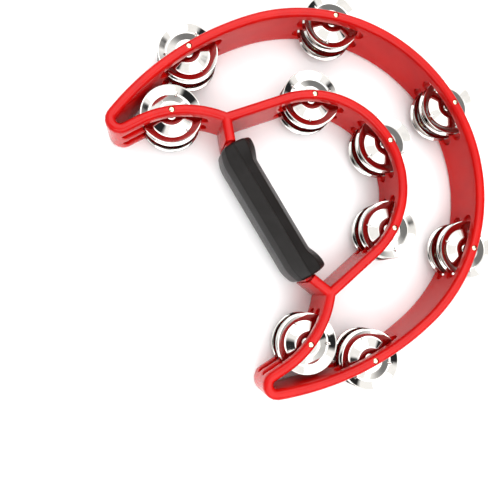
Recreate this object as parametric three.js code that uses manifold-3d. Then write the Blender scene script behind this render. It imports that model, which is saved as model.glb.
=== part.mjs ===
// Half-moon hand tambourine: one moulded crescent frame with two rows of slots, a grip made of two
// shells on the handle bar, ten pins, and forty jingles in face-to-face pairs on the pins.
//
// Units are millimetres. The frame lies flat: Z is up and runs along the pins, X runs along the
// handle, Y runs from the open side towards the arcs. The finished model is moved so that its origin
// is under the middle of its own bounding box, on the plane that the frame's lower rim rests on.

import * as THREE from 'three';
import { mergeVertices } from 'three/addons/utils/BufferGeometryUtils.js';
import Module from 'manifold-3d';

const wasm = await Module();
wasm.setup();

// ---------------------------------------------------------------- driving dimensions

const GAP = 0.3;                 // air between separate pieces that face each other

const BAND_HEIGHT = 36;
const BAND_WIDTH = 7;
const RIM_ROUNDING = 2.2;        // rounded edges of the band, top and bottom
const RIM_SEGMENTS = 2;
const ARC_TOLERANCE = 0.25;      // how far a faceted arc may leave the true one
const CUT_MARGIN = 1;            // how far a cutter reaches past the faces it cuts

const CROWN_CENTRE_Y = 13.5;     // the outer and the inner crown share this centre
const HALF_WIDTH = 128.4;        // outside of the band at the widest place
const SIDE_RADIUS = 215;         // outside of the band along its long, nearly straight sides
const INNER_CROWN_RADIUS = 63;   // middle of the band
const INNER_LEG_SPLAY = THREE.MathUtils.degToRad(9.7);
const TIP_RADIUS = 6.3;          // middle of the band round a horn's tip
const HORN_RADIUS = 69;          // middle of the band along a horn's inner side
const HORN_CENTRE = new THREE.Vector2(25.9, -73);
const JUNCTION_Y = -19.5;        // where horn, inner leg and handle meet

const HANDLE_Y = -25.5;
const HANDLE_HALF_LENGTH = 54.2;
const CORE_HEIGHT = 26;          // the bar is lower inside the grip

const GRIP_HALF_LENGTH = 52.6;
const GRIP_STEPS = 16;
const GRIP_LOBE_LENGTH = 17;     // swelling at each end, for the first and the last finger
const GRIP_LOBE_CUT = 0.55;      // what the grip's end cuts off the swelling, as a share of its length
const GRIP_WAIST = 0.74;         // finger side between the swellings, as a share of its full depth
const GRIP_END_TAPER = 0.68;     // palm side at its very end, as a share of its full depth
const GRIP_TAPER_LENGTH = 13;

const SLOT_HEIGHT = 8.4;
const SLOT_PITCH = 13.4;         // upper slot over lower slot
const SLOT_LENGTH = 51.5;
const HORN_SLOT_LENGTH = 60;
const HORN_SLOT_SHIFT = 4.6;     // the slots in the horns reach further towards the tip
const SLOT_END_SEGMENTS = 4;

const OUTER_SHOULDER_ANGLE = 38; // degrees above the X axis, seen from the crown's centre
const INNER_SHOULDER_ANGLE = 29.5;
const CROWN_TOP_ANGLE = 90;
const SIDE_PIN_Y = -17.2;
const HORN_PIN_ANGLE = 19.5;     // degrees above the X axis, seen from the horn's centre

const PIN_RADIUS = 1.3;
const PIN_HEAD_RADIUS = 1.9;
const PIN_HEAD_HEIGHT = 1.2;
const PIN_FLOOR = 2.5;           // material left under the pin
const PIN_RECESS = 0.1;          // the head lies this far below the rim
const PIN_SIDES = 8;

const JINGLE_RADIUS = 21;
const JINGLE_SHEET = 0.6;
const JINGLE_HEIGHT = 2.9;
const JINGLE_HOLE_RADIUS = 2.15;
const JINGLE_VALLEY_RADIUS = 15.6;
const JINGLE_BRIM_RISE = 1.8;    // the brim turns up again from the valley to the edge
const JINGLE_CROWN_RADIUS = 8.6;
const JINGLE_SIDES = 12;

// ---------------------------------------------------------------- materials

const redPlastic = { color: 0xd8221f, roughness: 0.22, metalness: 0 };
const blackPlastic = { color: 0x2b2a29, roughness: 0.45, metalness: 0 };
const nickel = { color: 0xd6d3cc, roughness: 0.12, metalness: 1 };
const steel = { color: 0xb9b2a2, roughness: 0.3, metalness: 1 };

// ---------------------------------------------------------------- helpers

// A three.js geometry as a solid that can be joined and cut.
function solid(geometry) {
  const bare = geometry.clone();
  bare.deleteAttribute('normal');
  bare.deleteAttribute('uv');
  const merged = mergeVertices(bare, 1e-4);
  return new wasm.Manifold(new wasm.Mesh({
    numProp: 3,
    vertProperties: new Float32Array(merged.attributes.position.array),
    triVerts: new Uint32Array(merged.index.array),
  }));
}

function geometryOf(body) {
  const mesh = body.getMesh();
  const geometry = new THREE.BufferGeometry();
  geometry.setAttribute('position', new THREE.BufferAttribute(mesh.vertProperties, 3));
  geometry.setIndex(new THREE.BufferAttribute(mesh.triVerts, 1));
  geometry.computeVertexNormals();
  return geometry;
}

function arc(centreX, centreY, radius, from, to) {
  const step = 2 * Math.acos(1 - ARC_TOLERANCE / radius);
  const count = Math.ceil(Math.abs(to - from) / step);
  const points = [];
  for (let i = 0; i <= count; i += 1) {
    const angle = from + ((to - from) * i) / count;
    points.push(new THREE.Vector2(centreX + radius * Math.cos(angle), centreY + radius * Math.sin(angle)));
  }
  return points;
}

// A line of points moved sideways by a distance, with its corners mitred.
function sideways(points, distance, closed) {
  const last = points.length - 1;
  return points.map((point, i) => {
    const before = points[i > 0 ? i - 1 : (closed ? last : 0)];
    const after = points[i < last ? i + 1 : (closed ? 0 : last)];
    const ahead = after.clone().sub(point).normalize();
    const behind = point.clone().sub(before).normalize();
    if (ahead.lengthSq() === 0) ahead.copy(behind);
    if (behind.lengthSq() === 0) behind.copy(ahead);
    const along = ahead.add(behind).normalize();
    const mitre = distance / along.dot(behind);
    return new THREE.Vector2(point.x - along.y * mitre, point.y + along.x * mitre);
  });
}

// A plan outline raised into a band with rounded upper and lower edges.
function raise(shape, bottom, height) {
  const geometry = new THREE.ExtrudeGeometry(shape, {
    depth: height - 2 * RIM_ROUNDING,
    bevelThickness: RIM_ROUNDING,
    bevelSize: RIM_ROUNDING,
    bevelOffset: -RIM_ROUNDING,
    bevelSegments: RIM_SEGMENTS,
  });
  return geometry.translate(0, 0, bottom + RIM_ROUNDING);
}

// ---------------------------------------------------------------- the frame's centre line

const sideCentreX = HALF_WIDTH - SIDE_RADIUS;
const crownRadius = SIDE_RADIUS - Math.hypot(sideCentreX, CROWN_CENTRE_Y);
const crownEnd = Math.atan2(CROWN_CENTRE_Y, -sideCentreX);
const hornX = HORN_CENTRE.x + HORN_RADIUS;
const tipX = hornX + TIP_RADIUS;
const tipY = -Math.sqrt((SIDE_RADIUS - BAND_WIDTH / 2 - TIP_RADIUS) ** 2 - (tipX - sideCentreX) ** 2);
const sideEnd = Math.atan2(tipY, tipX - sideCentreX);
const junctionAngle = Math.asin((JUNCTION_Y - HORN_CENTRE.y) / HORN_RADIUS);
const junction = new THREE.Vector2(HORN_CENTRE.x + HORN_RADIUS * Math.cos(junctionAngle), JUNCTION_Y);

const rightSide = [
  ...arc(0, CROWN_CENTRE_Y, crownRadius - BAND_WIDTH / 2, Math.PI / 2, crownEnd),
  ...arc(sideCentreX, 0, SIDE_RADIUS - BAND_WIDTH / 2, crownEnd, sideEnd).slice(1),
  ...arc(tipX, tipY, TIP_RADIUS, sideEnd, -Math.PI).slice(1),
  ...arc(HORN_CENTRE.x, HORN_CENTRE.y, HORN_RADIUS, 0, junctionAngle),
  ...arc(0, CROWN_CENTRE_Y, INNER_CROWN_RADIUS, INNER_LEG_SPLAY, Math.PI / 2),
];
const leftSide = rightSide.slice(1, -1).reverse().map((point) => new THREE.Vector2(-point.x, point.y));
const crescent = [...rightSide, ...leftSide].reverse();

// ---------------------------------------------------------------- stations

// A station is a pin with the two slots it crosses. Heading is the direction of the wall there.
function station(name, centre, radius, angle, slotLength, slotShift) {
  return {
    name,
    x: centre.x + radius * Math.cos(angle),
    y: centre.y + radius * Math.sin(angle),
    heading: angle - Math.PI / 2,
    slotLength,
    slotShift,
  };
}

function crownStation(name, radius, degrees) {
  const centre = new THREE.Vector2(0, CROWN_CENTRE_Y);
  return station(name, centre, radius, THREE.MathUtils.degToRad(degrees), SLOT_LENGTH, 0);
}

function mirrored(name, original) {
  const { x, heading, slotShift } = original;
  return { ...original, name, x: -x, heading: -heading, slotShift: -slotShift };
}

const outerPinRadius = crownRadius - BAND_WIDTH / 2;
const sidePinRadius = SIDE_RADIUS - BAND_WIDTH / 2;
const sidePinAngle = Math.asin(SIDE_PIN_Y / sidePinRadius);
const sideCentre = new THREE.Vector2(sideCentreX, 0);
const hornPinAngle = THREE.MathUtils.degToRad(HORN_PIN_ANGLE);

const sideStation = station('outer_5', sideCentre, sidePinRadius, sidePinAngle, SLOT_LENGTH, 0);
const outerShoulder = crownStation('outer_4', outerPinRadius, OUTER_SHOULDER_ANGLE);
const innerShoulder = crownStation('inner_4', INNER_CROWN_RADIUS, INNER_SHOULDER_ANGLE);
const hornStation = station(
  'inner_5', HORN_CENTRE, HORN_RADIUS, hornPinAngle, HORN_SLOT_LENGTH, HORN_SLOT_SHIFT,
);

const stations = [
  mirrored('outer_1', sideStation),
  mirrored('outer_2', outerShoulder),
  crownStation('outer_3', outerPinRadius, CROWN_TOP_ANGLE),
  outerShoulder,
  sideStation,
  mirrored('inner_1', hornStation),
  mirrored('inner_2', innerShoulder),
  crownStation('inner_3', INNER_CROWN_RADIUS, CROWN_TOP_ANGLE),
  innerShoulder,
  hornStation,
];

const slotLevels = {
  high: BAND_HEIGHT / 2 + SLOT_PITCH / 2,
  low: BAND_HEIGHT / 2 - SLOT_PITCH / 2,
};

// ---------------------------------------------------------------- frame

// The stretch of the frame's centre line that a station's slots lie in.
function wallAt(place) {
  const pin = new THREE.Vector2(place.x, place.y);
  const reach = place.slotLength / 2 + Math.abs(place.slotShift) + CUT_MARGIN;
  const count = crescent.length;
  const distances = crescent.map((point) => point.distanceTo(pin));
  const nearest = distances.indexOf(Math.min(...distances));
  let first = nearest;
  let last = nearest;
  while (distances[(first + count) % count] < reach) first -= 1;
  while (distances[last % count] < reach) last += 1;
  const wall = [];
  for (let i = first; i <= last; i += 1) wall.push(crescent[(i + count) % count]);
  return wall;
}

// A line of points as a closed outline with a width.
function strip(points, width) {
  return new THREE.Shape([
    ...sideways(points, width / 2, false),
    ...sideways(points, -width / 2, false).reverse(),
  ]);
}

// A slot is a stadium, pushed square to the wall at the pin and kept to that stretch of wall.
function slotCutter(place, level) {
  const straight = place.slotLength / 2 - SLOT_HEIGHT / 2;
  const outline = new THREE.Shape();
  outline.absarc(straight, 0, SLOT_HEIGHT / 2, -Math.PI / 2, Math.PI / 2, false);
  outline.absarc(-straight, 0, SLOT_HEIGHT / 2, Math.PI / 2, (3 * Math.PI) / 2, false);
  const depth = place.slotLength;
  const settings = { depth, bevelEnabled: false, curveSegments: SLOT_END_SEGMENTS };
  const stadium = solid(new THREE.ExtrudeGeometry(outline, settings)
    .translate(place.slotShift, 0, -depth / 2)
    .rotateX(Math.PI / 2)
    .rotateZ(place.heading)
    .translate(place.x, place.y, level));
  const wall = strip(wallAt(place), BAND_WIDTH + 2 * CUT_MARGIN);
  const wallSettings = { depth: BAND_HEIGHT, bevelEnabled: false };
  return stadium.intersect(solid(new THREE.ExtrudeGeometry(wall, wallSettings)));
}

function pinCutter(place) {
  const ledge = BAND_HEIGHT - PIN_HEAD_HEIGHT - GAP;
  const hole = new THREE.LatheGeometry([
    new THREE.Vector2(0, PIN_FLOOR),
    new THREE.Vector2(PIN_RADIUS + GAP, PIN_FLOOR),
    new THREE.Vector2(PIN_RADIUS + GAP, ledge),
    new THREE.Vector2(PIN_HEAD_RADIUS + GAP, ledge),
    new THREE.Vector2(PIN_HEAD_RADIUS + GAP, BAND_HEIGHT + CUT_MARGIN),
    new THREE.Vector2(0, BAND_HEIGHT + CUT_MARGIN),
  ], PIN_SIDES);
  return solid(hole.rotateX(Math.PI / 2).translate(place.x, place.y, 0));
}

function makeFrame() {
  const loop = new THREE.Shape(sideways(crescent, -BAND_WIDTH / 2, true));
  loop.holes.push(new THREE.Path(sideways(crescent, BAND_WIDTH / 2, true).reverse()));
  let body = solid(raise(loop, 0, BAND_HEIGHT));

  for (const side of [-1, 1]) {
    const stub = [
      new THREE.Vector2(side * junction.x, junction.y),
      new THREE.Vector2(side * HANDLE_HALF_LENGTH, HANDLE_Y),
    ];
    body = body.add(solid(raise(strip(stub, BAND_WIDTH), 0, BAND_HEIGHT)));
  }
  const coreLength = 2 * HANDLE_HALF_LENGTH + BAND_WIDTH / 2;
  const core = new THREE.BoxGeometry(coreLength, BAND_WIDTH, CORE_HEIGHT);
  body = body.add(solid(core.translate(0, HANDLE_Y, BAND_HEIGHT / 2)));

  for (const place of stations) {
    for (const level of Object.values(slotLevels)) {
      body = body.subtract(slotCutter(place, level));
    }
    body = body.subtract(pinCutter(place));
  }
  return geometryOf(body);
}

// ---------------------------------------------------------------- grip

// The depth of each side along the handle, as a share of its full depth: the finger side swells
// near its ends, and the palm side tapers at its ends.
function fingerDepth(fromEnd) {
  if (fromEnd > GRIP_LOBE_LENGTH) return GRIP_WAIST;
  const share = (fromEnd / GRIP_LOBE_LENGTH + GRIP_LOBE_CUT) / (1 + GRIP_LOBE_CUT);
  const swell = Math.sin(Math.PI * share);
  return GRIP_WAIST + (1 - GRIP_WAIST) * swell;
}

function palmDepth(fromEnd) {
  if (fromEnd > GRIP_TAPER_LENGTH) return 1;
  const fullness = Math.sin((Math.PI / 2) * (fromEnd / GRIP_TAPER_LENGTH));
  return GRIP_END_TAPER + (1 - GRIP_END_TAPER) * fullness;
}

// One shell: half of a twelve-sided section with a channel for the bar, drawn for the side it is on.
function gripHalf(facets, side, depthAt) {
  const seam = GAP / 2;
  const channelSide = BAND_WIDTH / 2 + GAP;
  const channelTop = CORE_HEIGHT / 2 + GAP;
  const half = BAND_HEIGHT / 2;
  const outline = [
    [seam, half],
    ...facets,
    ...facets.slice(0, -1).reverse().map(([out, up]) => [out, -up]),
    [seam, -half],
    [seam, -channelTop],
    [channelSide, -channelTop],
    [channelSide, channelTop],
    [seam, channelTop],
  ];
  const shape = new THREE.Shape(outline.map(([out, up]) => new THREE.Vector2(side * out, up)));
  const geometry = new THREE.ExtrudeGeometry(shape, {
    depth: 2 * GRIP_HALF_LENGTH,
    steps: GRIP_STEPS,
    bevelEnabled: false,
  });
  geometry.translate(0, 0, -GRIP_HALF_LENGTH);
  const place = geometry.attributes.position;
  for (let i = 0; i < place.count; i += 1) {
    if (Math.abs(place.getX(i)) > channelSide + GAP) {
      place.setX(i, place.getX(i) * depthAt(GRIP_HALF_LENGTH - Math.abs(place.getZ(i))));
    }
  }
  return geometryOf(solid(geometry.rotateX(Math.PI / 2).rotateZ(Math.PI / 2)
    .translate(0, HANDLE_Y, BAND_HEIGHT / 2)));
}

// Corners of the section from the ridge down to half height: distance out from the seam, height.
const palmFacets = [[8.6, 15], [11.3, 8.5], [11.8, 0]];
const fingerFacets = [[9.5, 15], [15.5, 8.5], [17.3, 0]];

// ---------------------------------------------------------------- pins and jingles

function makePin() {
  const top = BAND_HEIGHT - PIN_RECESS;
  return new THREE.LatheGeometry([
    new THREE.Vector2(0, PIN_FLOOR + GAP),
    new THREE.Vector2(PIN_RADIUS, PIN_FLOOR + GAP),
    new THREE.Vector2(PIN_RADIUS, top - PIN_HEAD_HEIGHT),
    new THREE.Vector2(PIN_HEAD_RADIUS, top - PIN_HEAD_HEIGHT),
    new THREE.Vector2(PIN_HEAD_RADIUS, top - PIN_HEAD_HEIGHT / 3),
    new THREE.Vector2(0, top),
  ], PIN_SIDES).rotateX(Math.PI / 2);
}

// A pressed disc: flat crown with a hole, wall sloping down to a valley, and a brim that turns up
// again. The valley lies at z = 0 and the crown rises to JINGLE_HEIGHT; a face-down one is the same
// disc turned over, so that a pair meets at the valleys.
function makeJingle() {
  const bottom = JINGLE_HEIGHT - JINGLE_SHEET;
  const section = [
    new THREE.Vector2(JINGLE_HOLE_RADIUS, bottom),
    new THREE.Vector2(JINGLE_CROWN_RADIUS - JINGLE_SHEET / 2, bottom),
    new THREE.Vector2(JINGLE_VALLEY_RADIUS, 0),
    new THREE.Vector2(JINGLE_RADIUS, JINGLE_BRIM_RISE),
    new THREE.Vector2(JINGLE_RADIUS, JINGLE_BRIM_RISE + JINGLE_SHEET),
    new THREE.Vector2(JINGLE_VALLEY_RADIUS, JINGLE_SHEET),
    new THREE.Vector2(JINGLE_CROWN_RADIUS, JINGLE_HEIGHT),
    new THREE.Vector2(JINGLE_HOLE_RADIUS, JINGLE_HEIGHT),
  ];
  return new THREE.LatheGeometry([...section, section[0].clone()], JINGLE_SIDES).rotateX(Math.PI / 2);
}

// ---------------------------------------------------------------- assembly

const tambourine = new THREE.Group();

function piece(name, geometry, look, parent = tambourine) {
  const mesh = new THREE.Mesh(geometry, new THREE.MeshStandardMaterial(look));
  mesh.name = name;
  parent.add(mesh);
  return mesh;
}

piece('frame', makeFrame(), redPlastic);
piece('grip_finger_half', gripHalf(fingerFacets, 1, fingerDepth), blackPlastic);
piece('grip_palm_half', gripHalf(palmFacets, -1, palmDepth), blackPlastic);

const pinGeometry = makePin();
const jingleGeometry = makeJingle();

for (const place of stations) {
  const stationGroup = new THREE.Group();
  stationGroup.position.set(place.x, place.y, 0);
  tambourine.add(stationGroup);
  piece(`pin_${place.name}`, pinGeometry, steel, stationGroup);
  for (const [level, middle] of Object.entries(slotLevels)) {
    const floor = middle - SLOT_HEIGHT / 2;
    const lower = piece(`jingle_${place.name}_${level}_lower`, jingleGeometry, nickel, stationGroup);
    lower.rotation.x = Math.PI;
    lower.position.z = floor + GAP + JINGLE_HEIGHT;
    const upper = piece(`jingle_${place.name}_${level}_upper`, jingleGeometry, nickel, stationGroup);
    upper.position.z = floor + 2 * GAP + JINGLE_HEIGHT;
  }
}

// The origin goes under the middle of the bounding box.
const box = new THREE.Box3().setFromObject(tambourine);
tambourine.position.y = -(box.min.y + box.max.y) / 2;

export default tambourine;
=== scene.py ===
# %% [markdown]
# # A half-moon tambourine
#
# The instrument is one crescent of red plastic with two rows of slots, ten pins pressed into it,
# forty small cymbals in face-to-face pairs on the pins, and a black grip made of two shells.
# The design model already settles every size and every joint, so this lesson only makes the
# surfaces that one sees: rounded rims, pressed metal, moulded grain. We start from that model.

import math

import bmesh
import bpy
from mathutils import Matrix, Vector


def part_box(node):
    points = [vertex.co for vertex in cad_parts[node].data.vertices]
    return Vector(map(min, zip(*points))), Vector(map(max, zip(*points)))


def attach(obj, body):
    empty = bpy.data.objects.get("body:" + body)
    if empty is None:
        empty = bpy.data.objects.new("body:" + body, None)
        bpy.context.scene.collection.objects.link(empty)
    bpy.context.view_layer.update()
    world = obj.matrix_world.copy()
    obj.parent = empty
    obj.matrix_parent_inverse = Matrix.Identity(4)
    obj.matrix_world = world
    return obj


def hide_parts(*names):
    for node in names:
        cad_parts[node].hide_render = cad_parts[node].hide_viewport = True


MM = 0.001

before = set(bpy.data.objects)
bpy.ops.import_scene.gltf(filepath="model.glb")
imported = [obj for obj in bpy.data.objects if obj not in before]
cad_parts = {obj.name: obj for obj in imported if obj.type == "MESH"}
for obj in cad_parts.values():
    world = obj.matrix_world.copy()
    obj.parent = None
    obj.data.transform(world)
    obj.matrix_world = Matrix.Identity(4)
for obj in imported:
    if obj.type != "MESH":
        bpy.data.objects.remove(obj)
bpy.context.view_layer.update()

# %% [markdown]
# ## Camera, floor and light
#
# A camera is a place, a point to look at and a turn about the line between them. The view is
# nearly straight down from a short distance, so the walls seem to lean outwards.
# Glossy plastic and polished metal show what stands around them more than their own colour. A
# white tent with large soft lamps gives them long, calm reflections. Two dark openings in the
# tent, one on the camera's side and one opposite, give the metal its dark patches, and a dimmer
# skirt round the foot of the tent shows in the brims that turn up.

# %% Camera
CAMERA_PLACE = Vector((10.2, -152.9, 359.9)) * MM
CAMERA_AIM = Vector((9.7, -83.1, 18.0)) * MM
CAMERA_UP_TURN = math.radians(148.84)  # which way the top of the view points, from +X towards +Y
CAMERA_LENS = 36.86

camera_data = bpy.data.cameras.new("camera")
camera_data.lens = CAMERA_LENS
camera_data.sensor_width = 36
camera_data.clip_start = 0.01
camera = bpy.data.objects.new("camera", camera_data)
bpy.context.scene.collection.objects.link(camera)

backward = (CAMERA_PLACE - CAMERA_AIM).normalized()
up_in_plan = Vector((math.cos(CAMERA_UP_TURN), math.sin(CAMERA_UP_TURN), 0))
rightward = up_in_plan.cross(backward).normalized()
upward = backward.cross(rightward)
turn = Matrix((rightward, upward, backward)).transposed().to_4x4()
camera.matrix_world = Matrix.Translation(CAMERA_PLACE) @ turn
bpy.context.scene.camera = camera
print("camera tilt from straight down:", round(math.degrees(backward.angle((0, 0, 1))), 1))


# %% Helpers for node trees
def add(tree, kind, **settings):
    """A node of that kind; a setting is a property, or an input's starting value by its name."""
    node = tree.nodes.new(kind)
    for name, value in settings.items():
        if hasattr(node, name):
            setattr(node, name, value)
        else:
            node.inputs[name.replace("_", " ")].default_value = value
    return node


def join(tree, *pairs):
    """Links given as (output, input) pairs."""
    for source, target in pairs:
        tree.links.new(source, target)


def maths(tree, operation, first, second=None, clamp=False):
    """A Math node; each side is a number or another node's output."""
    node = tree.nodes.new("ShaderNodeMath")
    node.operation = operation
    node.use_clamp = clamp
    for socket, value in zip(node.inputs, (first, second)):
        if isinstance(value, bpy.types.NodeSocket):
            tree.links.new(value, socket)
        elif value is not None:
            socket.default_value = value
    return node.outputs[0]


# %% Soft light all round, with two dark openings and a dimmer skirt
TENT_STRENGTH = 1.55
SKIRT_TOP = (0.46, 0.62)  # height on the unit sphere over which the dimmer skirt fades out
SKIRT_DARKNESS = 0.8
TENT_WHITE = (1.0, 1.0, 1.0, 1)
TENT_DARK = (0.02, 0.02, 0.022, 1)
OPENINGS = [(-100, 62, 14), (72, 38, 11)]  # degrees: bearing from +X, height above the floor, radius
OPENING_BLUR = 2.5  # degrees over which an opening's edge fades
OPENING_WANDER = 0.035  # how far the edge strays, in cosines


def facing(bearing, elevation):
    """The unit vector in that direction, from degrees."""
    around, above = math.radians(bearing), math.radians(elevation)
    return (math.cos(around) * math.cos(above), math.sin(around) * math.cos(above), math.sin(above))


world = bpy.data.worlds.new("tent")
bpy.context.scene.world = world
world.use_nodes = True
tent = world.node_tree
background = tent.nodes["Background"]
direction = add(tent, "ShaderNodeTexCoord").outputs["Generated"]
folds = add(tent, "ShaderNodeTexNoise", Scale=3.0, Detail=1.0)
join(tent, (direction, folds.inputs["Vector"]))
stray = maths(tent, "SUBTRACT", folds.outputs["Fac"], 0.5)
wander = maths(tent, "MULTIPLY", stray, 2 * OPENING_WANDER)
darkness = 0.0
for bearing, elevation, radius in OPENINGS:
    near = add(tent, "ShaderNodeVectorMath", operation="DOT_PRODUCT")
    near.inputs[1].default_value = facing(bearing, elevation)
    inner = math.cos(math.radians(radius - OPENING_BLUR))
    outer = math.cos(math.radians(radius + OPENING_BLUR))
    opening = add(tent, "ShaderNodeMapRange", From_Min=outer, From_Max=inner)
    join(
        tent,
        (direction, near.inputs[0]),
        (maths(tent, "ADD", near.outputs["Value"], wander), opening.inputs["Value"]),
    )
    darkness = maths(tent, "MAXIMUM", darkness, opening.outputs[0])
height = add(tent, "ShaderNodeSeparateXYZ")
skirt = add(tent, "ShaderNodeMapRange", To_Min=SKIRT_DARKNESS, To_Max=0.0)
skirt.inputs["From Min"].default_value, skirt.inputs["From Max"].default_value = SKIRT_TOP
join(tent, (direction, height.inputs[0]), (height.outputs["Z"], skirt.inputs["Value"]))
darkness = maths(tent, "MAXIMUM", darkness, skirt.outputs[0])
shade = add(tent, "ShaderNodeMix", data_type="RGBA")
shade.inputs["A"].default_value = TENT_WHITE
shade.inputs["B"].default_value = TENT_DARK
join(
    tent,
    (darkness, shade.inputs["Factor"]),
    (shade.outputs["Result"], background.inputs["Color"]),
)
background.inputs["Strength"].default_value = TENT_STRENGTH
bpy.context.scene.view_settings.view_transform = "Standard"
print("tent with", len(OPENINGS), "openings and", len(tent.nodes), "nodes")


def soft_lamp(name, place, width, watts):
    """A large square lamp that faces the instrument."""
    data = bpy.data.lights.new(name, "AREA")
    data.size = width
    data.energy = watts
    lamp = bpy.data.objects.new(name, data)
    bpy.context.scene.collection.objects.link(lamp)
    lamp.location = place
    lamp.rotation_euler = (-Vector(place)).to_track_quat("-Z", "Y").to_euler()


soft_lamp("lamp_left", (-0.60, 0.35, 1.05), 1.0, 5)
soft_lamp("lamp_right", (0.60, 0.15, 1.05), 1.0, 5)
soft_lamp("lamp_front", (0.50, -0.75, 0.75), 0.8, 4)

# %% Floor
FLOOR_HALF = 3.0
FLOOR_DROP = 0.2 * MM

floor_mesh = bpy.data.meshes.new("floor")
floor_corners = [(-1, -1), (1, -1), (1, 1), (-1, 1)]
floor_mesh.from_pydata(
    [(x * FLOOR_HALF, y * FLOOR_HALF, -FLOOR_DROP) for x, y in floor_corners], [], [(0, 1, 2, 3)]
)
floor = bpy.data.objects.new("floor", floor_mesh)
bpy.context.scene.collection.objects.link(floor)
floor_paint = bpy.data.materials.new("floor_paper")
floor_paint.use_nodes = True
paper = floor_paint.node_tree.nodes["Principled BSDF"]
paper.inputs["Base Color"].default_value = (0.97, 0.97, 0.97, 1)
paper.inputs["Roughness"].default_value = 0.9
floor_mesh.materials.append(floor_paint)
print("floor and lamps made")

# %% [markdown]
# ## Effects that several finishes share
#
# Moulded plastic copies the skin of its steel mould, and everything that is played gets fine
# scratches and fingermarks. Both effects belong to more than one finish, so each is a node group
# with named inputs. A group gives only masks and a height, and the finish decides what they do.

# %% Group: the skin of a moulded piece


def new_group(name, inputs, outputs):
    """A shader group with float inputs {name: default} and outputs {name: socket type}."""
    group = bpy.data.node_groups.new(name, "ShaderNodeTree")
    for label, default in inputs.items():
        socket = group.interface.new_socket(label, in_out="INPUT", socket_type="NodeSocketFloat")
        socket.default_value = default
    for label, kind in outputs.items():
        group.interface.new_socket(label, in_out="OUTPUT", socket_type=kind)
    return group, group.nodes.new("NodeGroupInput"), group.nodes.new("NodeGroupOutput")


def make_moulded_skin():
    inputs = {"Grain per metre": 2600.0, "Swirl per metre": 28.0}
    outputs = {"Grain": "NodeSocketFloat", "Swirl": "NodeSocketFloat"}
    group, given, result = new_group("moulded_skin", inputs, outputs)
    place = add(group, "ShaderNodeTexCoord")
    grain = add(group, "ShaderNodeTexNoise", Detail=3.0, Roughness=0.55)
    swirl = add(group, "ShaderNodeTexNoise", Detail=2.0, Distortion=1.4)
    even = add(group, "ShaderNodeMapRange", From_Min=0.35, From_Max=0.65)
    join(
        group,
        (place.outputs["Object"], grain.inputs["Vector"]),
        (place.outputs["Object"], swirl.inputs["Vector"]),
        (given.outputs["Grain per metre"], grain.inputs["Scale"]),
        (given.outputs["Swirl per metre"], swirl.inputs["Scale"]),
        (swirl.outputs["Fac"], even.inputs["Value"]),
        (grain.outputs["Fac"], result.inputs["Grain"]),
        (even.outputs[0], result.inputs["Swirl"]),
    )
    return group


moulded_skin = make_moulded_skin()
print("group", moulded_skin.name)

# %% Group: marks of handling


def make_handling():
    """Scratches are thin ridges of stretched noise; fingermarks are soft spots; sharp edges turn lighter,
    part scuffing and part painted highlight.
    """
    inputs = {"Scratches": 0.5, "Fingermarks": 0.5, "Edges": 0.5}
    outputs = {"Height": "NodeSocketFloat", "Dullness": "NodeSocketFloat", "Wear": "NodeSocketFloat"}
    group, given, result = new_group("handling", inputs, outputs)
    place = add(group, "ShaderNodeTexCoord")
    stretched = add(group, "ShaderNodeMapping", Rotation=(0.3, 0.5, 0.9), Scale=(60, 900, 700))
    lines = add(group, "ShaderNodeTexNoise", Scale=1.0, Detail=1.0)
    thin = add(group, "ShaderNodeMapRange", From_Min=0.70, From_Max=0.76)
    spots = add(group, "ShaderNodeTexNoise", Scale=75.0, Detail=3.0, Roughness=0.6)
    soft = add(group, "ShaderNodeMapRange", From_Min=0.5, From_Max=0.72)
    # Pointiness picks out sharp edges and the ridge bead for a lighter colour: part scuffing, part painted
    # highlight.
    shape = add(group, "ShaderNodeNewGeometry")
    corner = add(group, "ShaderNodeMapRange", From_Min=0.54, From_Max=0.62)
    edge_noise = add(group, "ShaderNodeTexNoise", Scale=420.0, Detail=4.0)
    scratch = maths(group, "MULTIPLY", thin.outputs[0], given.outputs["Scratches"])
    finger = maths(group, "MULTIPLY", soft.outputs[0], given.outputs["Fingermarks"])
    scuffed_and_lit_edge = maths(group, "MULTIPLY", corner.outputs[0], edge_noise.outputs["Fac"])
    wear_and_highlight = maths(group, "MULTIPLY", scuffed_and_lit_edge, given.outputs["Edges"], clamp=True)
    join(
        group,
        (place.outputs["Object"], stretched.inputs["Vector"]),
        (stretched.outputs[0], lines.inputs["Vector"]),
        (lines.outputs["Fac"], thin.inputs["Value"]),
        (place.outputs["Object"], spots.inputs["Vector"]),
        (spots.outputs["Fac"], soft.inputs["Value"]),
        (shape.outputs["Pointiness"], corner.inputs["Value"]),
        (place.outputs["Object"], edge_noise.inputs["Vector"]),
        (maths(group, "MULTIPLY", scratch, -1.0), result.inputs["Height"]),
        (maths(group, "MAXIMUM", finger, scratch), result.inputs["Dullness"]),
        (wear_and_highlight, result.inputs["Wear"]),
    )
    return group


handling = make_handling()
print("group", handling.name)

# %% [markdown]
# ## The four finishes
#
# The frame is bright red plastic from a polished mould: a strong clean colour under a clear
# gloss, with faint swirls where the plastic flowed. The grip comes from a mould with an eroded
# skin, so it is charcoal and satin. The cymbals are nickel-plated steel, polished on a wheel,
# which leaves very fine rings round the hole. The pins are plain wire with a warm tint.
# Each finish is a Principled shader whose colour, roughness and normal come from the groups.

# %% Plastic finishes


def use_group(tree, group, **values):
    node = tree.nodes.new("ShaderNodeGroup")
    node.node_tree = group
    for name, value in values.items():
        node.inputs[name.replace("_", " ")].default_value = value
    return node


def blend_colours(tree, factor, first, second):
    """A colour between two colours, or between a socket and a colour."""
    node = tree.nodes.new("ShaderNodeMix")
    node.data_type = "RGBA"
    tree.links.new(factor, node.inputs["Factor"])
    for socket, value in ((node.inputs["A"], first), (node.inputs["B"], second)):
        if isinstance(value, bpy.types.NodeSocket):
            tree.links.new(value, socket)
        else:
            socket.default_value = (*value, 1)
    return node.outputs["Result"]


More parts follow.
